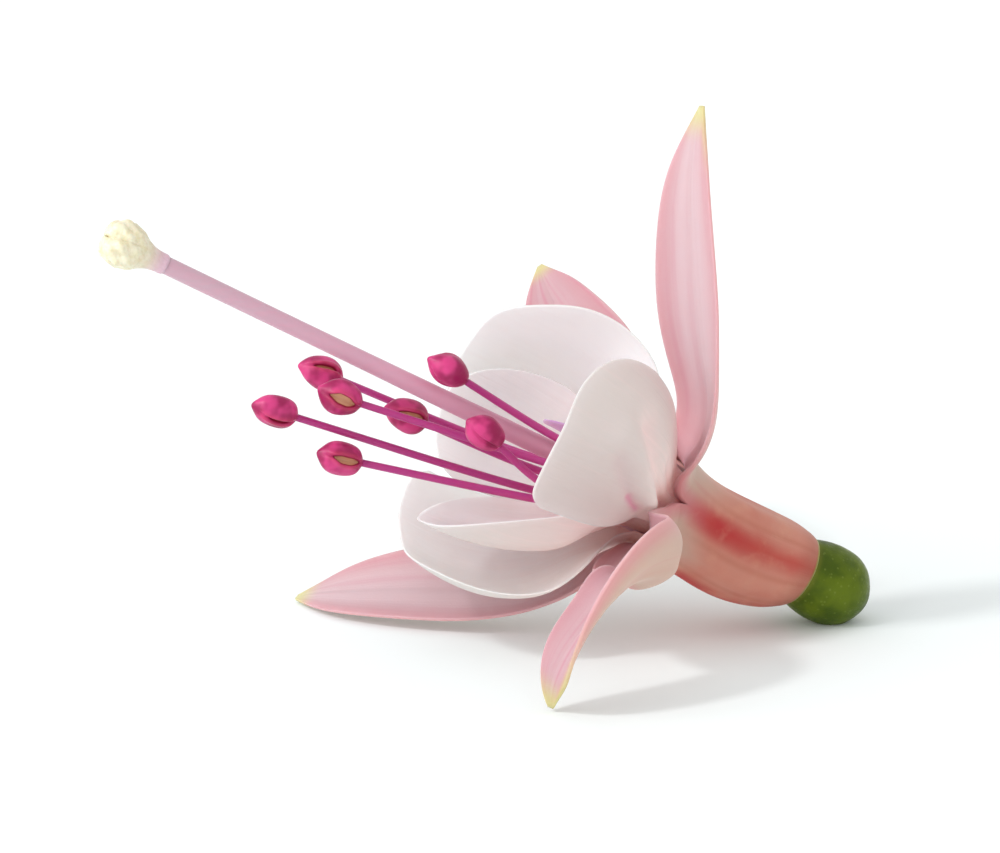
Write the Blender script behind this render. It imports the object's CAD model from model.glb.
"""A cut fuchsia bloom that lies on a pale surface.

The bloom is worked out upright, in millimetres and in a frame of its own: z is its axis, from the stalk
end to the mouth, azimuth 0 is its front and 90 its top. lay() then turns its points to where the packed
bloom lies, in metres. Its forms follow the numbers of its solids, with finer faces and thinner walls.
"""

import math

import bpy
import numpy as np
from mathutils import Matrix, Vector


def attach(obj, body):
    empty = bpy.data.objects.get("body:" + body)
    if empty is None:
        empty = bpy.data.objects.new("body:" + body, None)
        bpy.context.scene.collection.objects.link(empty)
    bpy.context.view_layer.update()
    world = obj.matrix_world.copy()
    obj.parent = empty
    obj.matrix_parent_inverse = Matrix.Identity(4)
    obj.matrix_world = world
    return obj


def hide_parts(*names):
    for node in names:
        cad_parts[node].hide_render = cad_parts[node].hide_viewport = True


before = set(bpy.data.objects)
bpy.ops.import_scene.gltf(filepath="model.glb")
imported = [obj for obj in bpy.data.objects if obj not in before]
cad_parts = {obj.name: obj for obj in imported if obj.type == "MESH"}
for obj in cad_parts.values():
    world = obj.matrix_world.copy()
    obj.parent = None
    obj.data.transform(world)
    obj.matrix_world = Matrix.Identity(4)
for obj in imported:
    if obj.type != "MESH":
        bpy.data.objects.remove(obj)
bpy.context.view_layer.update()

MM = 0.001

# Where the bloom lies
AXIS_RISE = math.radians(28.4)
JOINT = Vector((31.19, -6.325, 5.58)) * MM  # where the ovary meets the calyx tube

# Ovary: radius and height of its outline, from the scar at the stalk end to the neck
OVARY_OUTLINE = [
    (0.0, -7.45), (0.55, -7.42), (1.0, -7.62), (1.35, -7.82), (2.3, -7.25), (3.2, -6.4),
    (3.8, -5.2), (4.0, -3.7), (3.95, -2.4), (3.75, -1.3), (3.56, -0.6), (3.4, -0.1), (3.1, 0.5),
    (0.0, 0.6),
]
OVARY_ROWS = 90
OVARY_COLUMNS = 128
OVARY_CHAMBERS = 4
OVARY_LOBE = 0.012  # share of the radius by which each chamber swells

# Calyx: one tube that parts into four sepals
TUBE_LENGTH = 16.4
TUBE_RADII = [3.45, 4.25, 4.6, 4.75, 4.75, 4.7, 4.85, 5.3]
TUBE_SAG = 0.9
TUBE_WALL = 0.62
TUBE_FOOT_THINNING = 0.4  # share of the wall that is missing at the tube's foot
TUBE_ROWS = 44
RIB_COUNT = 8
RIB_HEIGHT = 0.1
SEPAL_LENGTH = 38.0
SEPAL_HALF_WIDTHS = [4.16, 4.8, 5.2, 5.3, 4.6, 3.1, 0.3]
SEPAL_WALL = 0.52
SEPAL_MARGIN_WALL = 0.26
SEPAL_FOLD = 0.065  # share of the length in which a sepal turns from the rim's heading to its own
SEPAL_STEPS = 240  # short straight steps that a midrib is added up from
SEPAL_ROWS = 110
SEPAL_CROWDING = 1.25  # above 1, the rows stand closer together towards the rim
SEPAL_COLUMNS = 40
RIM_HEADING = 35
RIM_LIP = 0.55  # how much thicker the skin grows inward where the petals leave it
SEPAL_KEEL = 0.12
SEPAL_RIPPLE = 0.05
TIP_GREEN = 0.9
# As in the solids, then green: the margin that turns yellow-green (-1 or 1, 0 for neither) and the share
# of the length where that starts; and tone: how much deeper the pink is, from 0 to 1
SEPALS = [
    {
        "green": (-1, 0.8), "tone": 0.0, "azimuth": 60, "bend": [95, 52, 54, 61, 80],
        "swing": [0, 21, 42], "twist": [0, 18, 17, 11], "curl": [0.08, 0.118],
    },
    {
        "green": (0, 1), "tone": 1.0, "azimuth": 150, "bend": [87, 81, 71, 76, 92],
        "swing": [8, 13, 8], "twist": [0, 12, 18, 21], "curl": [0.098, 0.117],
    },
    {
        "green": (0, 1), "tone": 0.0, "azimuth": 240, "bend": [95, 52.5, 40, 52, 77],
        "swing": [6, -12, -31], "twist": [0, -5, 6, 21], "curl": [0.105, 0.1],
    },
    {
        "green": (1, 0.72), "tone": 1.0, "azimuth": 330, "bend": [33, 73, 97, 36, 68, 88.5, 126.5],
        "swing": [-20, 42, -50, -84], "twist": [0, -17, -1, 6, -51], "curl": [0.238, 0.26, 0.188, 0.144],
    },
]

# Corolla
PETAL_WALL = 0.26
PETAL_MARGIN_WALL = 0.16
PETAL_ROWS = 84
PETAL_COLUMNS = 84
PETAL_STEPS = 300  # short straight steps that a petal's middle line is added up from
PETAL_ROOT_HEIGHT = 15.0
OUTER_RING = {"radius": 3.83, "claw": 2.3, "swell": 0.45}  # swell fills the rim of the tube
INNER_RING = {"radius": 2.98, "claw": 2.8, "swell": 0.0}
PETAL_TURN = 3.0
CLAW_HEADING = 6
PETAL_OPENING = 0.35
LIP_ROUNDNESS = 2.4
CORNER_CUT = 0.07  # share of the length by which a blade's corners are rounded off
CORNER_SHARPNESS = 14
PRESS_DEPTH = 2.1  # how far the near sepal presses the petals inward, where and between which heights
PRESS_AZIMUTH = 318
PRESS_SPREAD = 60
PRESS_START = 17.8
PRESS_RISE = 3.5
PRESS_END = 27
PRESS_FADE = 6

# The numbers of the solids, then blush (how far the pink of the root reaches up the blade, as a share
# of its length), wave (height of its soft ripples in mm) and the ripples' phase
PETALS = {
    "petal_top": {
        "root": 105, "azimuth": 153, "root_half": 32, "half": 56, "length": 27.6, "ring": OUTER_RING,
        "heading": [76, 71, 52, 20, -2, -3], "lean": 0.3, "corners": [0.45, 0.15],
        "blush": 0.3, "wave": 0.22, "phase": 0.4,
    },
    "petal_far": {
        "root": 195, "azimuth": 183, "root_half": 30, "half": 37, "length": 25.4, "ring": INNER_RING,
        "heading": [59, 53, 41, 22, 5, -5], "lean": 0.0, "corners": [0.34, 0.12],
        "blush": 0.75, "wave": 0.15, "phase": 2.1,
    },
    "petal_near": {
        "root": 14, "azimuth": 20, "root_half": 40, "half": 39, "length": 24.4, "ring": OUTER_RING,
        "heading": [68, 64, 50, 26, 12, 8], "lean": 0.9, "corners": [0.02, 0.3],
        "blush": 0.5, "wave": 0.1, "phase": 0.9,
    },
    "petal_bottom": {
        "root": 282, "azimuth": 260, "root_half": 35, "half": 49, "length": 27.6, "ring": OUTER_RING,
        "heading": [64, 58, 56, 30, 3, -12], "lean": 0.0, "corners": [0.02, 0.5],
        "blush": 0.8, "wave": 0.15, "phase": 3.3,
    },
    "petal_inner": {
        "root": 294, "azimuth": 284, "root_half": 38, "half": 59, "length": 26.2, "ring": INNER_RING,
        "heading": [48, 44, 36, 23, 9, -3], "lean": 0.8, "corners": [0.28, 0.44],
        "blush": 0.9, "wave": 0.15, "phase": 5.0,
    },
    "petal_small": {
        "root": 129, "azimuth": 131, "root_half": 20, "half": 22, "length": 16, "ring": INNER_RING,
        "heading": [12, 8, 4, 0, -8, -16], "lean": 0.0, "corners": [0.4, 0.4],
        "blush": 0.6, "wave": 0.1, "phase": 1.0,
    },
}

# The near petal's pleats: the places that each runs through (across the blade, share of its length), how
# wide and how deep it is in mm (swells have a depth below 0), how strongly it is stained and how pink
PLEATS = [
    {
        "line": [(-0.21, 0.7), (-0.48, 0.57), (-0.62, 0.46)],
        "width": 1.2, "depth": 0.45, "stain": 0.12, "pink": 0.0,
    },
    {
        "line": [(-0.53, 0.535), (-0.62, 0.47), (-0.68, 0.42)],
        "width": 0.8, "depth": 0.2, "stain": 1.0, "pink": 0.0,
    },
    {
        "line": [(0.05, 0.72), (-0.2, 0.5), (-0.45, 0.3)],
        "width": 1.8, "depth": -0.6, "stain": 0.0, "pink": 0.0,
    },
    {
        "line": [(0.29, 0.6), (-0.02, 0.48), (-0.29, 0.15)],
        "width": 1.7, "depth": 0.8, "stain": 0.0, "pink": 0.55,
    },
    {
        "line": [(0.1, 0.1), (0.24, 0.32)],
        "width": 0.9, "depth": 0.3, "stain": 0.0, "pink": 0.4,
    },
]
BLADE_SPAN = (8.0, 24.4)  # mm that one unit of each place measures

# Stamens: root azimuth, a point that the filament passes, the anther's middle, how far the anther is
# rolled about its own length (degrees) and how wide its slit stands open
STAMEN_RING_RADIUS = 1.9
STAMEN_ROOT_HEIGHT = 14.6
FILAMENT_RISE = 3.5
FILAMENT_RADIUS = 0.48
FILAMENT_FLATNESS = 0.85
FILAMENT_STEPS = 24
FILAMENT_SIDES = 24
ANTHER_LENGTH = 4.4
ANTHER_WIDTH = 3.4
ANTHER_DEPTH = 2.8
ANTHER_ROWS = 64
ANTHER_COLUMNS = 96
SLIT_OPENING = 0.18
STAMENS = [
    {"root": 247.5, "pass": (0.2, -4.1, 29), "anther": (1.5, -7.8, 56.8), "roll": -30, "slit": 0.5},
    {"root": 157.5, "pass": (-4.2, -1.7, 30), "anther": (-6.0, -3.2, 52.0), "roll": 35, "slit": 0.6},
    {"root": 22.5, "pass": (2.2, -0.9, 29), "anther": (2.5, -3.9, 52.0), "roll": -5, "slit": 1.5},
    {"root": 292.5, "pass": (2.0, -4.6, 29), "anther": (3.0, -9.1, 49.4), "roll": 10, "slit": 1.2},
    {"root": 202.5, "pass": (-1.9, -2.4, 29), "anther": (-2.4, -3.1, 43.5), "roll": 15, "slit": 1.0},
    {"root": 67.5, "pass": (1.2, 1.4, 29), "anther": (2.0, 2.8, 43.4), "roll": 110, "slit": 0.4},
    {"root": 337.5, "pass": (3.6, -3.0, 29), "anther": (6.0, -0.8, 38.7), "roll": 150, "slit": 0.4},
    {"root": 112.5, "pass": (0.3, 2.7, 20), "anther": (2.0, 4.4, 24.5), "roll": 0, "slit": 0.5},
]

# Style and stigma
STYLE_TOP = 74.2
STYLE_RADII = [1.1, 1.05, 0.95, 0.85, 0.85]
STYLE_SUNK = 0.9  # how far its end stops below STYLE_TOP, inside the stigma
STYLE_STEPS = 120
STYLE_SIDES = 40
STIGMA_OUTLINE = [
    (0.3, -1.9), (0.93, -1.7), (1.0, -1.0), (1.12, -0.2), (1.45, 0.6), (1.95, 1.4), (2.12, 2.3),
    (2.16, 3.1), (1.95, 3.9), (1.45, 4.5), (0.7, 4.75), (0.0, 4.8),
]
STIGMA_ROWS = 90
STIGMA_COLUMNS = 112
STIGMA_HOLLOW = 0.35  # how far the middle of its crown lies below the outline
LEAST_RADIUS = 0.02

# Camera: where it looks from, how far it stands from the joint, and the picture's middle from the joint
CAMERA_AZIMUTH = math.radians(-17)
CAMERA_ELEVATION = math.radians(13)
CAMERA_LENS = 135
CAMERA_SENSOR = 36
CAMERA_DISTANCE = 375 * MM
CAMERA_CLIP = 10 * MM
AIM_RIGHT = -29.8 * MM
AIM_UP = 14.35 * MM

# Light: an even white dome, a soft key from the left and a softer fill low on the same side
WORLD_STRENGTH = 0.82
KEY_DIRECTION = (-0.67, -0.22, 0.71)
KEY_STRENGTH = 0.85
KEY_SPREAD = 7
FILL_DIRECTION = (-0.95, -0.2, 0.24)
FILL_STRENGTH = 1.75
FILL_SPREAD = 60
FLOOR_HALF = 4.0  # metres

# Colours, in sRGB from 0 to 255
COLOURS = {
    "white_inside": (249, 244, 242), "white_outside": (192, 188, 183), "white_blush": (246, 206, 201),
    "white_root": (246, 166, 154), "white_stain": (196, 88, 140),
    "violet_inside": (196, 158, 206), "violet_outside": (186, 140, 202), "violet_blush": (150, 84, 172),
    "violet_root": (150, 60, 160), "violet_stain": (110, 50, 140),
    "tube": (206, 140, 122), "tube_gap": (188, 80, 70), "tube_fresh": (186, 44, 52),
    "tube_crease": (180, 96, 74), "tube_cloud": (194, 98, 84), "tube_mottle": (220, 166, 138),
    "tube_foot": (162, 92, 74), "tube_neck": (150, 146, 56), "throat": (216, 150, 152),
    "sepal_inside": (195, 170, 175), "sepal_margin": (190, 147, 154), "sepal_root": (202, 160, 166),
    "sepal_tone": (176, 130, 139), "sepal_lines": (184, 108, 129),
    "sepal_back": (198, 172, 158), "sepal_back_margin": (206, 156, 158),
    "sepal_back_lines": (200, 146, 142), "sepal_green": (188, 194, 108),
    "ovary_dark": (68, 88, 3), "ovary_light": (94, 112, 10), "ovary_flecks": (150, 164, 84),
    "ovary_neck": (140, 138, 50), "ovary_scar_rim": (122, 118, 56), "ovary_scar": (158, 150, 96),
    "filament_root": (200, 64, 124), "filament": (196, 78, 150), "filament_end": (176, 52, 126),
    "style_root": (222, 156, 178), "style": (214, 158, 180), "style_end": (200, 167, 180),
    "anther_light": (204, 60, 124), "anther_dark": (154, 24, 82), "anther_lips": (196, 66, 92),
    "anther_edge": (140, 18, 52), "anther_slit": (208, 156, 124),
    "stigma": (234, 228, 204), "stigma_shade": (224, 215, 182), "stigma_foot": (219, 184, 198),
    "floor": (247, 253, 253), "floor_grain": (245, 251, 251),
}


# ---------------------------------------------------------------- shapes

def along(values, t):
    """Evenly spaced values, read smoothly at shares t of their length."""
    v = np.asarray(values, float)
    v = np.concatenate(([2 * v[0] - v[1]], v, [2 * v[-1] - v[-2]]))
    place = np.clip(t, 0, 1) * (len(values) - 1)
    i = np.minimum(place.astype(int), len(values) - 2)
    f = place - i
    p0, p1, p2, p3 = v[i], v[i + 1], v[i + 2], v[i + 3]
    bent = (p2 - p0) * f + (2 * p0 - 5 * p1 + 4 * p2 - p3) * f**2 + (3 * p1 - p0 - 3 * p2 + p3) * f**3
    return p1 + 0.5 * bent


def smooth(t):
    """0 below 0, 1 above 1, and eased between."""
    t = np.clip(t, 0, 1)
    return t * t * (3 - 2 * t)


def bell(distance, width):
    """1 at no distance, falling off smoothly over a width."""
    return np.exp(-((distance / width) ** 2))


def polar(azimuth, radius, height):
    """Points of the bloom's frame from azimuth in degrees, radius and height."""
    a = np.radians(azimuth)
    return np.stack(np.broadcast_arrays(radius * np.cos(a), radius * np.sin(a), height), axis=-1)


def lay(points):
    """Points of the bloom's frame (mm) to where the bloom lies (m)."""
    front = (0.0, -1.0, 0.0)
    top = (math.sin(AXIS_RISE), 0.0, math.cos(AXIS_RISE))
    axis = (-math.cos(AXIS_RISE), 0.0, math.sin(AXIS_RISE))
    return points @ np.array([front, top, axis]) * MM + np.array(JOINT)


def grid_faces(rows, columns, closed=False):
    """Quads of a grid of points with that many steps each way."""
    across = columns if closed else columns + 1
    faces = []
    for i in range(rows):
        for j in range(columns):
            a = i * across + j
            b = i * across + (j + 1) % across
            faces.append((a, b, b + across, a + across))
    return faces


def capped_faces(rings, columns):
    """Faces of closed rings of points and of a fan at each end, to the two points that follow the rings."""
    first = rings * columns
    faces = grid_faces(rings - 1, columns, closed=True)
    for j in range(columns):
        k = (j + 1) % columns
        faces.append((first, k, j))
        faces.append((first + 1, first - columns + j, first - columns + k))
    return faces


def capped_shares(shares, columns):
    """The mark of capped rings that runs from 0 at one end to 1 at the other."""
    return np.concatenate([np.repeat(shares, columns), [0, 1]])


def sheet_normals(points, quads):
    """Unit normals at the points of a sheet, on the side that its quads face."""
    q = np.asarray(quads)
    cross = np.cross(points[q[:, 2]] - points[q[:, 0]], points[q[:, 3]] - points[q[:, 1]])
    normals = np.zeros_like(points)
    for corner in range(4):
        np.add.at(normals, q[:, corner], cross)
    return normals / np.linalg.norm(normals, axis=1, keepdims=True)


def thick_sheet(points, quads, wall, relief, marks):
    """A closed blade round a sheet: its points, faces and marks, with the mark "side" 1 outside, 0 inside."""
    points = points + sheet_normals(points, quads) * relief[:, None]
    half = sheet_normals(points, quads) * wall[:, None] / 2
    count = len(points)
    edges = {}
    for a, b, c, d in quads:
        for start, end in ((a, b), (b, c), (c, d), (d, a)):
            if not edges.pop((end, start), None):
                edges[start, end] = True
    faces = list(quads)
    faces += [(count + d, count + c, count + b, count + a) for a, b, c, d in quads]
    faces += [(end, start, count + start, count + end) for start, end in edges]
    marks = {name: np.concatenate([values, values]) for name, values in marks.items()}
    marks["side"] = np.concatenate([np.ones(count), np.zeros(count)])
    return np.concatenate([points + half, points - half]), faces, marks


def swept(path, radii, sides):
    """A closed tube along a path; radii holds a radius, or a pair of half widths, for each point."""
    steps = np.gradient(path, axis=0)
    steps /= np.linalg.norm(steps, axis=1, keepdims=True)
    side = np.cross(steps[0], (0.0, 1.0, 0.3))
    rings = []
    angles = np.linspace(0, 2 * np.pi, sides, endpoint=False)
    radii = np.broadcast_to(np.asarray(radii, float).reshape(len(path), -1), (len(path), 2))
    for point, step, (wide, deep) in zip(path, steps, radii):
        side = side - step * (side @ step)
        side /= np.linalg.norm(side)
        other = np.cross(step, side)
        rings.append(point + wide * np.outer(np.cos(angles), side) + deep * np.outer(np.sin(angles), other))
    points = np.concatenate(rings + [path[:1], path[-1:]])
    marks = {"along": capped_shares(np.linspace(0, 1, len(path)), sides)}
    return points, capped_faces(len(path), sides), marks


def smooth_path(points, steps):
    """A centripetal Catmull-Rom curve through the points."""
    p = np.asarray(points, float)
    p = np.concatenate([2 * p[:1] - p[1:2], p, 2 * p[-1:] - p[-2:-1]])
    gaps = np.sqrt(np.linalg.norm(np.diff(p, axis=0), axis=1))
    path = []
    for i in range(1, len(p) - 2):
        d0, d1, d2 = gaps[i - 1 : i + 2]
        start = (p[i] - p[i - 1]) / d0 - (p[i + 1] - p[i - 1]) / (d0 + d1) + (p[i + 1] - p[i]) / d1
        end = (p[i + 1] - p[i]) / d1 - (p[i + 2] - p[i]) / (d1 + d2) + (p[i + 2] - p[i + 1]) / d2
        start, end = start * d1, end * d1
        f = np.linspace(0, 1, steps, endpoint=i == len(p) - 3)[:, None]
        square = 3 * (p[i + 1] - p[i]) - 2 * start - end
        cube = 2 * (p[i] - p[i + 1]) + start + end
        path.append(p[i] + start * f + square * f**2 + cube * f**3)
    return np.concatenate(path)


def ovary_shape():
    """A plump oval body with a scar at its stalk end and four faint chambers."""
    share = np.linspace(0, 1, OVARY_ROWS + 1)[1:-1]
    radii, heights = zip(*OVARY_OUTLINE)
    radius = np.maximum(along(radii, share), LEAST_RADIUS)[:, None]
    height = along(heights, share)[:, None]
    azimuth = np.linspace(0, 360, OVARY_COLUMNS, endpoint=False)[None, :]
    lobes = 1 + OVARY_LOBE * np.cos(np.radians(OVARY_CHAMBERS * azimuth))
    rings = polar(azimuth, radius * lobes, height).reshape(-1, 3)
    ends = polar(0, 0, np.array([heights[0], heights[-1]]))
    marks = {"along": capped_shares(share, OVARY_COLUMNS)}
    return np.concatenate([rings, ends]), capped_faces(len(share), OVARY_COLUMNS), marks


def tube_grid():
    """The tube with its soft ribs: its points and marks, row by row from the ovary to the rim."""
    columns = len(SEPALS) * SEPAL_COLUMNS
    share = np.linspace(0, 1, TUBE_ROWS + 1)[:, None]
    fade = np.sin(np.pi * share)
    column = np.arange(columns)[None, :]
    turn = 360 * (column - SEPAL_COLUMNS / 2) / columns
    rib = RIB_HEIGHT * fade * np.cos(np.radians(RIB_COUNT * turn))
    azimuth = SEPALS[0]["azimuth"] + turn
    points = polar(azimuth, along(TUBE_RADII, share) + rib, share * TUBE_LENGTH)
    points[..., 1] -= TUBE_SAG * fade
    span = 2 * (column % SEPAL_COLUMNS) / SEPAL_COLUMNS - 1
    return points, {"along": share - 1, "span": span, "azimuth": azimuth, "green": 0.0, "tone": 0.0}


def sepal_directions(sepal, t):
    """The directions along, across and into a sepal at shares t of its length."""
    outward = polar(sepal["azimuth"], 1.0, 0.0)
    around = polar(sepal["azimuth"] + 90, 1.0, 0.0)
    fold = smooth(t / SEPAL_FOLD)
    bend = np.radians(RIM_HEADING + (along(sepal["bend"], t) - RIM_HEADING) * fold)[:, None]
    swing = np.radians(along(sepal["swing"], t) * fold)[:, None]
    twist = np.radians(along(sepal["twist"], t))[:, None]
    flat = outward * np.cos(swing) + around * np.sin(swing)
    across = around * np.cos(swing) - outward * np.sin(swing)
    forward = np.array([0.0, 0.0, 1.0]) * np.cos(bend) + flat * np.sin(bend)
    across = across * np.cos(twist) + np.cross(forward, across) * np.sin(twist)
    return forward, across, np.cross(forward, across)


def sepal_points(sepal, t, u):
    """The sheet of a sepal: t runs from rim to tip and u from -1 to 1 across it."""
    step = 1 / SEPAL_STEPS
    middles = (np.arange(SEPAL_STEPS) + 0.5) * step
    forward = sepal_directions(sepal, middles)[0] * SEPAL_LENGTH * step
    start = polar(sepal["azimuth"], TUBE_RADII[-1], TUBE_LENGTH)
    midrib = np.concatenate([[start], start + np.cumsum(forward, axis=0)])
    places = np.arange(SEPAL_STEPS + 1) * step
    place = np.stack([np.interp(t, places, midrib[:, axis]) for axis in range(3)], axis=-1)
    _, across, inward = sepal_directions(sepal, t)
    curvature = along([1 / TUBE_RADII[-1]] + sepal["curl"], t)[:, None]
    turn = curvature * along(SEPAL_HALF_WIDTHS, t)[:, None] * u[None, :]
    sideways = across[:, None, :] * (np.sin(turn) / curvature)[..., None]
    inwards = inward[:, None, :] * ((1 - np.cos(turn)) / curvature)[..., None]
    return place[:, None, :] + sideways + inwards


def sepal_grid(sepal):
    """A sepal: its points and marks, row by row from the rim to the tip."""
    share = ((np.arange(1, SEPAL_ROWS + 1) / SEPAL_ROWS) ** SEPAL_CROWDING)[:, None]
    span = np.linspace(-1, 1, SEPAL_COLUMNS + 1)[None, :]
    points = sepal_points(sepal, share.ravel(), span.ravel())
    edge, start = sepal["green"]
    margin = smooth((share - start) / 0.25) * smooth((span * edge - 0.62) / 0.36)
    green = np.maximum(TIP_GREEN * smooth((share - 0.9) / 0.09), margin)
    azimuth = sepal["azimuth"] + 180 / len(SEPALS) * span
    return points, {"along": share, "span": span, "azimuth": azimuth, "green": green, "tone": sepal["tone"]}


def calyx_faces():
    """Quads of the tube, and of each sepal from its part of the tube's rim."""
    columns = len(SEPALS) * SEPAL_COLUMNS
    across = SEPAL_COLUMNS + 1
    faces = grid_faces(TUBE_ROWS, columns, closed=True)
    for k in range(len(SEPALS)):
        first = (TUBE_ROWS + 1) * columns + k * SEPAL_ROWS * across
        below = [TUBE_ROWS * columns + (k * SEPAL_COLUMNS + j) % columns for j in range(across)]
        for i in range(SEPAL_ROWS):
            above = [first + i * across + j for j in range(across)]
            faces += [(below[j], below[j + 1], above[j + 1], above[j]) for j in range(SEPAL_COLUMNS)]
            below = above
    return faces


def calyx_wall(share, span):
    """How thick the skin is: thinner in the sepals, thinnest at their margins and tips."""
    margin = np.abs(span) ** 6 * smooth(share / 0.1)
    tip = smooth(share * 12 - 11)
    foot = smooth(-share * 25 - 24)
    wall = TUBE_WALL + (SEPAL_WALL - TUBE_WALL) * smooth(share / 0.2 + 0.5)
    wall = wall + (SEPAL_MARGIN_WALL - SEPAL_WALL) * np.maximum(margin, tip)
    return wall * (1 - TUBE_FOOT_THINNING * foot)


def calyx_shape():
    """The tube and the four sepals, as one skin."""
    grids = [tube_grid()] + [sepal_grid(sepal) for sepal in SEPALS]
    marks = {}
    for name in grids[0][1]:
        spread = [np.broadcast_to(values[name], points.shape[:2]).ravel() for points, values in grids]
        marks[name] = np.concatenate(spread)
    points = np.concatenate([points.reshape(-1, 3) for points, _ in grids])
    share = marks["along"]
    span = marks.pop("span")
    azimuth = np.radians(marks.pop("azimuth"))
    marks["width"] = np.abs(span)
    marks["front"] = np.cos(azimuth)
    marks["top"] = np.sin(azimuth)
    lip = RIM_LIP * smooth(1 - np.abs(share + 0.02) / 0.1)
    keel = SEPAL_KEEL * bell(span, 0.12) * smooth(share * 4) * smooth((1 - share) * 4)
    folds = SEPAL_RIPPLE * np.cos(span * 9 + share * 2) * smooth(share * 3) * smooth((1 - share) * 4)
    return thick_sheet(points, calyx_faces(), calyx_wall(share, span) + lip, keel + folds - lip / 2, marks)


def pressed(azimuth, height):
    """How far the near sepal presses a petal inward at an azimuth and a height."""
    apart = np.abs((azimuth - PRESS_AZIMUTH + 180) % 360 - 180)
    side = smooth(1 - apart / PRESS_SPREAD)
    rise = smooth((height - PRESS_START) / PRESS_RISE)
    fade = smooth((PRESS_END - height) / PRESS_FADE)
    return PRESS_DEPTH * side * rise * fade


def petal_profile(petal):
    """Radii and heights of a petal's middle line, in even steps from its root to its lip."""
    step = 1 / PETAL_STEPS
    middles = (np.arange(PETAL_STEPS) + 0.5) * step
    turned = smooth((middles * petal["length"] - petal["ring"]["claw"]) / PETAL_TURN)
    heading = np.radians(CLAW_HEADING + (along(petal["heading"], middles) - CLAW_HEADING) * turned)
    run = petal["length"] * step
    radii = petal["ring"]["radius"] + np.concatenate([[0], np.cumsum(np.sin(heading)) * run])
    heights = PETAL_ROOT_HEIGHT + np.concatenate([[0], np.cumsum(np.cos(heading)) * run])
    return radii, heights


def petal_sheet(petal):
    """The sheet of a petal: its places (u across it, t the share of its length) and its points."""
    radii, heights = petal_profile(petal)
    u = np.linspace(-1, 1, PETAL_COLUMNS + 1)[None, :]
    cut = np.where(u < 0, *petal["corners"]) * np.abs(u) ** LIP_ROUNDNESS
    cut = cut + CORNER_CUT * np.abs(u) ** CORNER_SHARPNESS
    t = np.linspace(0, 1, PETAL_ROWS + 1)[:, None] * (1 - cut)
    opened = smooth(t / PETAL_OPENING)
    half = petal["root_half"] + (petal["half"] - petal["root_half"]) * opened
    middle = petal["root"] + (petal["azimuth"] - petal["root"]) * opened
    azimuth = middle + half * u
    steps = np.arange(PETAL_STEPS + 1) / PETAL_STEPS
    height = np.interp(t, steps, heights)
    radius = np.interp(t, steps, radii) + petal["lean"] * u * opened - pressed(azimuth, height)
    return u * np.ones_like(t), t, polar(azimuth, radius, height).reshape(-1, 3)


def line_distance(u, t, line):
    """How far each place of a blade lies from a line on it, in mm."""
    nearest = np.full(u.shape, np.inf)
    for (u0, t0), (u1, t1) in zip(line, line[1:]):
        run = np.array([(u1 - u0) * BLADE_SPAN[0], (t1 - t0) * BLADE_SPAN[1]])
        x = (u - u0) * BLADE_SPAN[0]
        y = (t - t0) * BLADE_SPAN[1]
        f = np.clip((x * run[0] + y * run[1]) / (run @ run), 0, 1)
        nearest = np.minimum(nearest, np.hypot(x - f * run[0], y - f * run[1]))
    return nearest


def petal_relief(petal, u, t):
    """How far a petal's soft ripples, and the swelling in the rim of the tube, stand out."""
    ripple = np.sin(u * 4.2 + petal["phase"]) + 0.5 * np.sin(u * 9.5 + t * 4 - petal["phase"])
    swell = petal["ring"]["swell"] * smooth(t / 0.06) * smooth((0.36 - t) / 0.2)
    return petal["wave"] * ripple * smooth(t * 1.6 - 0.4) + swell


def petal_shape(petal, pleats=()):
    """A blade rolled round the bloom's axis, narrow at its root and cupped like a bell."""
    u, t, points = petal_sheet(petal)
    row = np.linspace(0, 1, PETAL_ROWS + 1)[:, None]
    margin = np.maximum(np.abs(u) ** 8 * smooth(t * 5), smooth(row * 14 - 13))
    wall = PETAL_WALL + (PETAL_MARGIN_WALL - PETAL_WALL) * margin
    relief = petal_relief(petal, u, t)
    blush = smooth(1.15 - t / petal["blush"])
    stain = np.zeros_like(t)
    for pleat in pleats:
        dent = bell(line_distance(u, t, pleat["line"]), pleat["width"])
        relief = relief - pleat["depth"] * dent
        stain = np.maximum(stain, pleat["stain"] * dent**2)
        blush = np.maximum(blush, pleat["pink"] * dent)
    marks = {"along": t.ravel(), "across": u.ravel(), "blush": blush.ravel(), "stain": stain.ravel()}
    return thick_sheet(points, grid_faces(PETAL_ROWS, PETAL_COLUMNS), wall.ravel(), relief.ravel(), marks)


def filament_shape(stamen):
    """A slender tapering thread from the throat to its anther."""
    root = polar(stamen["root"], STAMEN_RING_RADIUS, STAMEN_ROOT_HEIGHT)
    rise = polar(stamen["root"], STAMEN_RING_RADIUS, STAMEN_ROOT_HEIGHT + FILAMENT_RISE)
    path = smooth_path([root, rise, stamen["pass"], stamen["anther"]], FILAMENT_STEPS)
    radius = FILAMENT_RADIUS * (1.2 - 0.35 * np.linspace(0, 1, len(path)))
    return swept(path, np.stack([radius, radius * FILAMENT_FLATNESS], axis=-1), FILAMENT_SIDES)


def anther_directions(stamen):
    """The directions across an anther, along it and out of its slit."""
    rise = polar(stamen["root"], STAMEN_RING_RADIUS, STAMEN_ROOT_HEIGHT + FILAMENT_RISE)
    path = smooth_path([rise, stamen["pass"], stamen["anther"]], FILAMENT_STEPS // 2)
    forward = path[-1] - path[-2]
    forward /= np.linalg.norm(forward)
    facing = np.array([1.0, 0.0, 0.0])
    facing = facing - forward * (facing @ forward)
    facing /= np.linalg.norm(facing)
    roll = math.radians(stamen["roll"])
    outward = facing * math.cos(roll) + np.cross(forward, facing) * math.sin(roll)
    return np.array([np.cross(forward, outward), forward, outward])


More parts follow.
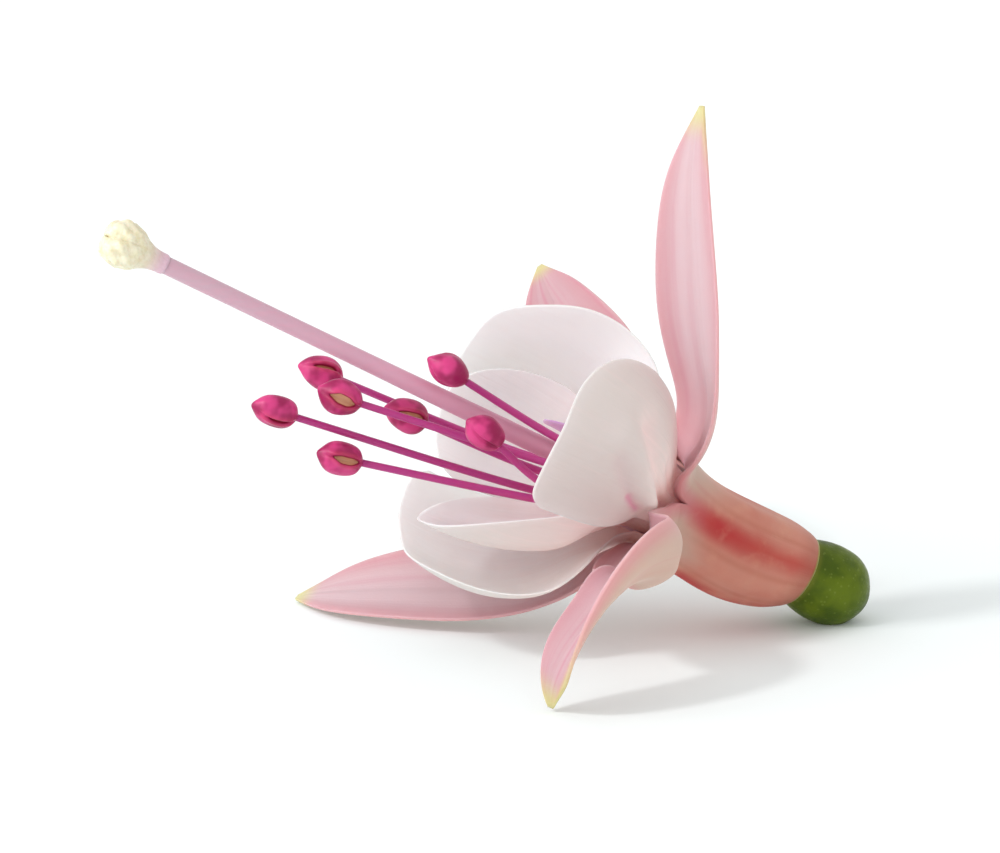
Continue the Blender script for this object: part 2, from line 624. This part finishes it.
def anther_slit(x, y, wide, phase):
    """How far each place lies in the open slit, on its swollen lips and in the seam between the lobes."""
    off = np.abs(x - 0.08 * np.sin(2.6 * y + phase))
    opening = SLIT_OPENING * wide * smooth(1.25 - np.abs(y - 0.1 * math.sin(phase)) * 1.6)
    slit = smooth((opening - off) / 0.16 + 0.5) * smooth(opening * 12)
    lips = bell(off - opening - 0.14, 0.13) * smooth((1 - np.abs(y)) * 2)
    seam = bell(off, 0.1) * smooth((1 - np.abs(y)) * 3)
    return slit, lips, seam


def anther_shape(stamen):
    """Two plump lobes side by side, with a slit between swollen lips and a beak at the far end."""
    tilt = np.linspace(0, np.pi, ANTHER_ROWS + 1)[1:-1, None]
    turn = np.linspace(0, 2 * np.pi, ANTHER_COLUMNS, endpoint=False)[None, :]
    x = np.sin(tilt) * np.cos(turn)
    y = np.cos(tilt) * np.ones_like(turn)
    z = np.sin(tilt) * np.sin(turn)
    phase = math.radians(stamen["root"])
    slit, lips, seam = anther_slit(x, y, stamen["slit"], phase)
    front = smooth(z * 4)
    back = smooth(-z * 4)
    deep = z * (1 + 0.13 * lips * front - 0.3 * slit * front - seam * (0.16 * front + 0.24 * back))
    beak = np.exp((y - 1) / 0.06)
    waist = 1 - 0.3 * bell(y + 1, 0.16) + 0.05 * np.sin(3 * y + phase)
    scale = np.array([ANTHER_WIDTH, ANTHER_LENGTH, ANTHER_DEPTH]) / 2
    rings = np.stack([
        x * waist * (1 - 0.1 * seam) + 0.14 * beak * math.cos(phase),
        y + 0.16 * beak,
        deep * waist,
    ], axis=-1).reshape(-1, 3)
    ends = [(0.14 * math.cos(phase), 1.17, 0), (0, -1, 0)]
    points = np.concatenate([rings, ends]) * scale @ anther_directions(stamen)
    faces = [face[::-1] for face in capped_faces(ANTHER_ROWS - 1, ANTHER_COLUMNS)]
    marks = {"slit": slit * front, "rim": lips * front}
    marks = {name: np.concatenate([values.ravel(), [0, 0]]) for name, values in marks.items()}
    return points + np.array(stamen["anther"]), faces, marks


def style_shape():
    """A long straight thread, from the ovary to the stigma."""
    share = np.linspace(0, 1, STYLE_STEPS)
    return swept(polar(0, 0, share * (STYLE_TOP - STYLE_SUNK)), along(STYLE_RADII, share), STYLE_SIDES)


def stigma_shape():
    """A knob of four rounded lobes that grows out of the style's end."""
    share = np.linspace(0, 1, STIGMA_ROWS + 1)[1:-1, None]
    turn = np.linspace(0, 2 * np.pi, STIGMA_COLUMNS, endpoint=False)[None, :]
    radii, heights = zip(*STIGMA_OUTLINE)
    radius = np.maximum(along(radii, share), LEAST_RADIUS)
    height = along(heights, share)
    crown = smooth((height - 0.6) / 2.2)
    cleft = (1 - np.abs(np.cos(2 * turn + 0.6 + 0.12 * height))) ** 2
    lumps = 0.05 * np.sin(5 * turn + 2.2 * height) + 0.04 * np.sin(9 * turn - 3.1 * height)
    radius = radius * (1 + (0.07 - 0.26 * cleft + lumps) * crown)
    height = height - 0.45 * cleft * crown * smooth((height - 2.5) / 2) + 0.1 * lumps * crown
    rings = polar(np.degrees(turn), radius, STYLE_TOP + height).reshape(-1, 3)
    ends = polar(0, 0, STYLE_TOP + np.array([heights[0], heights[-1] - STIGMA_HOLLOW]))
    marks = {"along": capped_shares(share.ravel(), STIGMA_COLUMNS)}
    return np.concatenate([rings, ends]), capped_faces(STIGMA_ROWS - 1, STIGMA_COLUMNS), marks


# ---------------------------------------------------------------- materials

def paint(name):
    """A named colour, made linear."""
    return tuple(((c / 255 + 0.055) / 1.055) ** 2.4 for c in COLOURS[name]) + (1.0,)


class Look:
    """A node material in the making: each method adds nodes and returns their output.

    A noise's or cells' scale is per metre, so 1000 makes details of about a millimetre.
    """

    def __init__(self, name):
        self.material = bpy.data.materials.new(name)
        self.material.use_nodes = True
        self.tree = self.material.node_tree
        self.shader = self.tree.nodes["Principled BSDF"]

    def add(self, kind, inputs, **settings):
        """A new node, with its inputs linked or set."""
        node = self.tree.nodes.new("ShaderNode" + kind)
        for name, value in settings.items():
            setattr(node, name, value)
        for name, value in inputs.items():
            self.plug(node.inputs[name], value)
        return node

    def plug(self, socket, value):
        """Links another node's output to a socket, or sets the socket to a constant."""
        if isinstance(value, bpy.types.NodeSocket):
            self.tree.links.new(value, socket)
        else:
            socket.default_value = value

    def mark(self, name):
        """A value that the mesh holds at each point."""
        return self.add("Attribute", {}, attribute_name=name).outputs["Fac"]

    def place(self):
        """The place on the piece, in metres."""
        return self.add("TexCoord", {}).outputs["Object"]

    def math(self, operation, a, b=0.0):
        """Two values joined by an operation."""
        return self.add("Math", {0: a, 1: b}, operation=operation).outputs[0]

    def times(self, a, b):
        """The product of two values."""
        return self.math("MULTIPLY", a, b)

    def ease(self, value, low, high):
        """0 below low, 1 above high, and eased between."""
        inputs = {"Value": value, "From Min": low, "From Max": high}
        return self.add("MapRange", inputs, interpolation_type="SMOOTHSTEP").outputs[0]

    def noise(self, vector, scale, detail):
        """Soft noise from 0 to 1."""
        return self.add("TexNoise", {"Vector": vector, "Scale": scale, "Detail": detail}).outputs["Fac"]

    def streaks(self, *axes):
        """Noise over three values, each given with how fast the noise changes along it."""
        scaled = {number: self.times(value, speed) for number, (value, speed) in enumerate(axes)}
        return self.noise(self.add("CombineXYZ", scaled).outputs[0], 1, 3)

    def cells(self, scale):
        """Distance from the middle of the nearest cell."""
        return self.add("TexVoronoi", {"Vector": self.place(), "Scale": scale}).outputs["Distance"]

    def mix(self, share, a, b):
        """Colour a where share is 0 and b where it is 1."""
        return self.add("Mix", {0: share, 6: a, 7: b}, data_type="RGBA").outputs[2]

    def layer(self, colour, mask, strength, over):
        """A colour with another laid over it, where and as strongly as said."""
        return self.mix(self.times(mask, strength), colour, over)

    def bump(self, height, strength, distance, normal=None):
        """The surface's normal, tilted by a height, on top of an earlier bump."""
        inputs = {"Height": height, "Strength": strength, "Distance": distance}
        if normal is not None:
            inputs["Normal"] = normal
        return self.add("Bump", inputs).outputs[0]

    def tissue(self, depth, share):
        """Lets light into the surface, as in living tissue: depth in millimetres."""
        self.shader.inputs["Subsurface Weight"].default_value = share
        self.shader.inputs["Subsurface Radius"].default_value = (1.0, 0.8, 0.74)
        self.shader.inputs["Subsurface Scale"].default_value = depth * MM
        self.shader.inputs["IOR"].default_value = 1.4

    def finish(self, **sockets):
        """Fills the shader's sockets and returns the material."""
        for name, value in sockets.items():
            self.plug(self.shader.inputs[name.replace("_", " ")], value)
        return self.material


def petal_material(name, kind):
    """Satin tissue, veined from its root and pink where the blush reaches."""
    look = Look(name)
    share, span, side = look.mark("along"), look.mark("across"), look.mark("side")
    veins = look.streaks((span, 14), (share, 1.4), (side, 1))
    fine = look.streaks((span, 44), (share, 6), (side, 1))
    cloud = look.noise(look.place(), 130, 2)
    blush = look.times(look.mark("blush"), look.math("ADD", 0.6, look.times(veins, 0.5)))
    colour = look.mix(side, paint(kind + "_inside"), paint(kind + "_outside"))
    colour = look.mix(look.math("MINIMUM", blush, 1.0), colour, paint(kind + "_blush"))
    colour = look.layer(colour, look.ease(share, 0.34, 0.04), 0.9, paint(kind + "_root"))
    colour = look.layer(colour, look.ease(veins, 0.5, 0.75), 0.07, paint(kind + "_blush"))
    colour = look.layer(colour, look.ease(cloud, 0.45, 0.75), 0.14, paint(kind + "_outside"))
    colour = look.layer(colour, look.mark("stain"), 0.55, paint(kind + "_stain"))
    normal = look.bump(fine, 0.08, 0.1 * MM)
    normal = look.bump(look.cells(5200), 0.08, 0.04 * MM, normal)
    normal = look.bump(veins, 0.3, 0.3 * MM, normal)
    rough = look.math("ADD", 0.5, look.times(fine, 0.16))
    look.tissue(2.2, 0.86)
    return look.finish(
        Base_Color=colour, Roughness=rough, Normal=normal, Sheen_Weight=0.1, Sheen_Roughness=0.45,
        Specular_IOR_Level=0.3,
    )


def tube_colour(look, share, width, cloud):
    """Coral, redder below the gaps between the sepals and yellow-green where the ovary starts."""
    mottle = look.noise(look.place(), 430, 3)
    gap = look.ease(look.math("ADD", width, look.times(cloud, 0.5)), 0.62, 1.3)
    fresh = look.times(look.ease(share, -0.7, -0.15), look.ease(width, 0.5, 1.0))
    crease = look.ease(look.math("ABSOLUTE", look.math("SUBTRACT", width, 0.42)), 0.16, 0.0)
    colour = look.mix(gap, paint("tube"), paint("tube_gap"))
    colour = look.layer(colour, fresh, 0.9, paint("tube_fresh"))
    colour = look.layer(colour, crease, 0.3, paint("tube_crease"))
    colour = look.layer(colour, look.ease(cloud, 0.45, 0.7), 0.35, paint("tube_cloud"))
    colour = look.layer(colour, look.ease(mottle, 0.52, 0.72), 0.22, paint("tube_mottle"))
    colour = look.layer(colour, look.ease(share, -0.8, -0.98), 0.6, paint("tube_foot"))
    return look.mix(look.ease(share, -0.975, -1.0), colour, paint("tube_neck"))


def sepal_colour(look, share, width, side, lines):
    """Pink inside and creamy outside, with darker lines and a yellow-green tip and margin."""
    tone = look.mark("tone")
    inside = look.mix(look.ease(width, 0.3, 1.0), paint("sepal_inside"), paint("sepal_margin"))
    inside = look.mix(look.ease(share, 0.4, 0.0), inside, paint("sepal_root"))
    inside = look.layer(inside, tone, 0.45, paint("sepal_tone"))
    strength = look.math("ADD", 0.18, look.times(tone, 0.25))
    inside = look.layer(inside, lines, strength, paint("sepal_lines"))
    outside = look.mix(look.ease(width, 0.5, 1.0), paint("sepal_back"), paint("sepal_back_margin"))
    outside = look.layer(outside, lines, 0.35, paint("sepal_back_lines"))
    return look.layer(look.mix(side, inside, outside), look.mark("green"), 0.7, paint("sepal_green"))


def calyx_material():
    """Satin skin: the tube's colour, the throat's inside it, and the sepals' from the rim on."""
    look = Look("calyx_skin")
    share, width, side = look.mark("along"), look.mark("width"), look.mark("side")
    front, top = look.mark("front"), look.mark("top")
    streaks = look.streaks((front, 5), (top, 5), (share, 1.3))
    fine = look.streaks((front, 22), (top, 22), (share, 3.5))
    cloud = look.noise(look.place(), 190, 3)
    tube = look.mix(side, paint("throat"), tube_colour(look, share, width, cloud))
    sepals = sepal_colour(look, share, width, side, look.ease(streaks, 0.5, 0.7))
    reach = look.math("ADD", share, look.times(width, -0.2))
    colour = look.mix(look.ease(reach, -0.42, 0.02), tube, sepals)
    normal = look.bump(streaks, 0.18, 0.3 * MM)
    normal = look.bump(fine, 0.18, 0.1 * MM, normal)
    normal = look.bump(look.cells(4300), 0.14, 0.05 * MM, normal)
    rough = look.math("ADD", 0.42, look.times(fine, 0.18))
    look.tissue(1.5, 0.75)
    return look.finish(
        Base_Color=colour, Roughness=rough, Normal=normal, Sheen_Weight=0.06, Sheen_Roughness=0.4,
        Specular_IOR_Level=0.35,
    )


def ovary_material():
    """Glossy green skin with pale flecks, a yellow neck and a pale scar."""
    look = Look("ovary_skin")
    share = look.mark("along")
    cloud = look.noise(look.place(), 320, 3)
    flecks = look.cells(1700)
    colour = look.mix(look.ease(cloud, 0.35, 0.7), paint("ovary_dark"), paint("ovary_light"))
    colour = look.layer(colour, look.ease(flecks, 0.26, 0.1), 0.3, paint("ovary_flecks"))
    colour = look.layer(colour, look.ease(share, 0.74, 0.9), 0.7, paint("ovary_neck"))
    colour = look.layer(colour, look.ease(share, 0.27, 0.19), 0.7, paint("ovary_scar_rim"))
    colour = look.mix(look.ease(share, 0.13, 0.05), colour, paint("ovary_scar"))
    normal = look.bump(look.cells(5200), 0.22, 0.07 * MM)
    normal = look.bump(cloud, 0.2, 0.4 * MM, normal)
    rough = look.math("ADD", 0.24, look.times(flecks, 0.25))
    look.tissue(0.8, 0.2)
    return look.finish(Base_Color=colour, Roughness=rough, Normal=normal, Specular_IOR_Level=0.26)


def thread_material(name, kind, rough, depth):
    """A smooth thread that changes colour from root to end, with fine lengthwise streaks."""
    look = Look(name)
    share = look.mark("along")
    stretch = look.add("Mapping", {"Vector": look.place(), "Scale": (0.1, 1.0, 1.0)}).outputs[0]
    streaks = look.noise(stretch, 2600, 3)
    colour = look.mix(look.ease(share, 0.1, 0.45), paint(kind + "_root"), paint(kind))
    colour = look.mix(look.ease(share, 0.5, 1.0), colour, paint(kind + "_end"))
    colour = look.layer(colour, look.ease(streaks, 0.4, 0.7), 0.22, paint(kind + "_root"))
    normal = look.bump(streaks, 0.25, 0.08 * MM)
    grain = look.math("ADD", rough, look.times(streaks, 0.12))
    look.tissue(depth, 0.5)
    return look.finish(Base_Color=colour, Roughness=grain, Normal=normal, Specular_IOR_Level=0.5)


def anther_material():
    """Crimson pollen sacs, beige in the open slit and darkest along its edge."""
    look = Look("anther_skin")
    slit = look.mark("slit")
    grain = look.noise(look.place(), 1900, 3)
    cloud = look.noise(look.place(), 480, 2)
    colour = look.mix(look.ease(cloud, 0.38, 0.62), paint("anther_light"), paint("anther_dark"))
    colour = look.layer(colour, look.mark("rim"), 0.45, paint("anther_lips"))
    colour = look.mix(look.ease(slit, 0.1, 0.4), colour, paint("anther_edge"))
    colour = look.mix(look.ease(slit, 0.5, 0.9), colour, paint("anther_slit"))
    normal = look.bump(grain, 0.4, 0.1 * MM)
    rough = look.math("ADD", 0.26, look.times(grain, 0.2))
    look.tissue(0.5, 0.2)
    return look.finish(Base_Color=colour, Roughness=rough, Normal=normal, Specular_IOR_Level=0.45)


def stigma_material():
    """Cream, pinker where it leaves the style, with a moist grain."""
    look = Look("stigma_skin")
    share = look.mark("along")
    grain = look.noise(look.place(), 1300, 3)
    colour = look.mix(look.ease(grain, 0.35, 0.7), paint("stigma"), paint("stigma_shade"))
    colour = look.mix(look.ease(share, 0.4, 0.12), colour, paint("stigma_foot"))
    normal = look.bump(look.cells(2600), 0.5, 0.14 * MM)
    normal = look.bump(grain, 0.3, 0.2 * MM, normal)
    rough = look.math("ADD", 0.35, look.times(grain, 0.2))
    look.tissue(1.0, 0.6)
    return look.finish(Base_Color=colour, Roughness=rough, Normal=normal, Specular_IOR_Level=0.4)


def floor_material():
    """A matt white surface with a faint grain."""
    look = Look("white_surface")
    grain = look.noise(look.place(), 40, 2)
    colour = look.mix(grain, paint("floor"), paint("floor_grain"))
    return look.finish(Base_Color=colour, Roughness=0.9, Specular_IOR_Level=0.0)


# ---------------------------------------------------------------- scene

def piece(name, shape, material, node=None):
    """Makes a piece of the bloom from its points, faces and marks, and lays it in place."""
    points, faces, marks = shape
    places = lay(points)
    places[:, 2] = np.maximum(places[:, 2], 0)  # what rests on the surface is flat there
    mesh = bpy.data.meshes.new(name)
    mesh.from_pydata(places.tolist(), [], faces)
    mesh.polygons.foreach_set("use_smooth", [True] * len(mesh.polygons))
    for mark, values in marks.items():
        attribute = mesh.attributes.new(mark, "FLOAT", "POINT")
        attribute.data.foreach_set("value", np.ascontiguousarray(values, np.float32))
    mesh.materials.append(material)
    made = bpy.data.objects.new(name, mesh)
    bpy.context.scene.collection.objects.link(made)
    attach(made, "root")
    if node:
        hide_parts(node)


def build_petals():
    """The six petals: five white ones and the small violet one."""
    white = petal_material("petal_tissue", "white")
    violet = petal_material("petal_violet_tissue", "violet")
    for node, petal in PETALS.items():
        small = node == "petal_small"
        shape = petal_shape(petal, PLEATS if node == "petal_near" else ())
        piece(node.title(), shape, violet if small else white, node)


def build_stamens():
    """The eight stamens, each a filament and an anther."""
    thread = thread_material("filament_skin", "filament", rough=0.28, depth=0.5)
    anther = anther_material()
    for number, stamen in enumerate(STAMENS, start=1):
        piece(f"Filament_{number}", filament_shape(stamen), thread, f"stamen_{number}")
        piece(f"Anther_{number}", anther_shape(stamen), anther)


def build_bloom():
    """The bloom, piece by piece from the stalk end to the stigma."""
    piece("Ovary", ovary_shape(), ovary_material(), "ovary")
    piece("Calyx", calyx_shape(), calyx_material(), "calyx")
    build_petals()
    build_stamens()
    pale = thread_material("style_skin", "style", rough=0.36, depth=1.0)
    piece("Style", style_shape(), pale, "style")
    piece("Stigma", stigma_shape(), stigma_material(), "stigma")


def build_floor():
    """The surface that the bloom lies on."""
    corners = [(x * FLOOR_HALF, y * FLOOR_HALF, 0) for x, y in ((-1, -1), (1, -1), (1, 1), (-1, 1))]
    mesh = bpy.data.meshes.new("Floor")
    mesh.from_pydata(corners, [], [(0, 1, 2, 3)])
    mesh.materials.append(floor_material())
    floor = bpy.data.objects.new("Floor", mesh)
    bpy.context.scene.collection.objects.link(floor)


def sun_light(name, direction, strength, spread):
    """An even light from far away, softened over an angle in degrees."""
    light = bpy.data.lights.new(name, "SUN")
    light.energy = strength
    light.angle = math.radians(spread)
    lamp = bpy.data.objects.new(name, light)
    lamp.rotation_euler = Vector(direction).to_track_quat("Z", "Y").to_euler()
    bpy.context.scene.collection.objects.link(lamp)


def build_light():
    """A white dome all round, and two soft lights from the left."""
    world = bpy.data.worlds.new("Studio")
    world.use_nodes = True
    background = world.node_tree.nodes["Background"]
    background.inputs["Color"].default_value = (1.0, 1.0, 1.0, 1.0)
    background.inputs["Strength"].default_value = WORLD_STRENGTH
    bpy.context.scene.world = world
    sun_light("Key", KEY_DIRECTION, KEY_STRENGTH, KEY_SPREAD)
    sun_light("Fill", FILL_DIRECTION, FILL_STRENGTH, FILL_SPREAD)
    bpy.context.scene.view_settings.view_transform = "Standard"


def build_camera():
    """The camera, level and aimed beside the joint."""
    cosine = math.cos(CAMERA_ELEVATION)
    back = Vector((
        math.sin(CAMERA_AZIMUTH) * cosine,
        -math.cos(CAMERA_AZIMUTH) * cosine,
        math.sin(CAMERA_ELEVATION),
    ))
    right = Vector((math.cos(CAMERA_AZIMUTH), math.sin(CAMERA_AZIMUTH), 0.0))
    up = back.cross(right)
    data = bpy.data.cameras.new("Camera")
    data.lens = CAMERA_LENS
    data.sensor_width = CAMERA_SENSOR
    data.clip_start = CAMERA_CLIP
    camera = bpy.data.objects.new("Camera", data)
    place = JOINT + right * AIM_RIGHT + up * AIM_UP + back * CAMERA_DISTANCE
    camera.matrix_world = Matrix.Translation(place) @ Matrix((right, up, back)).transposed().to_4x4()
    bpy.context.scene.collection.objects.link(camera)
    bpy.context.scene.camera = camera


build_camera()
build_floor()
build_light()
build_bloom()
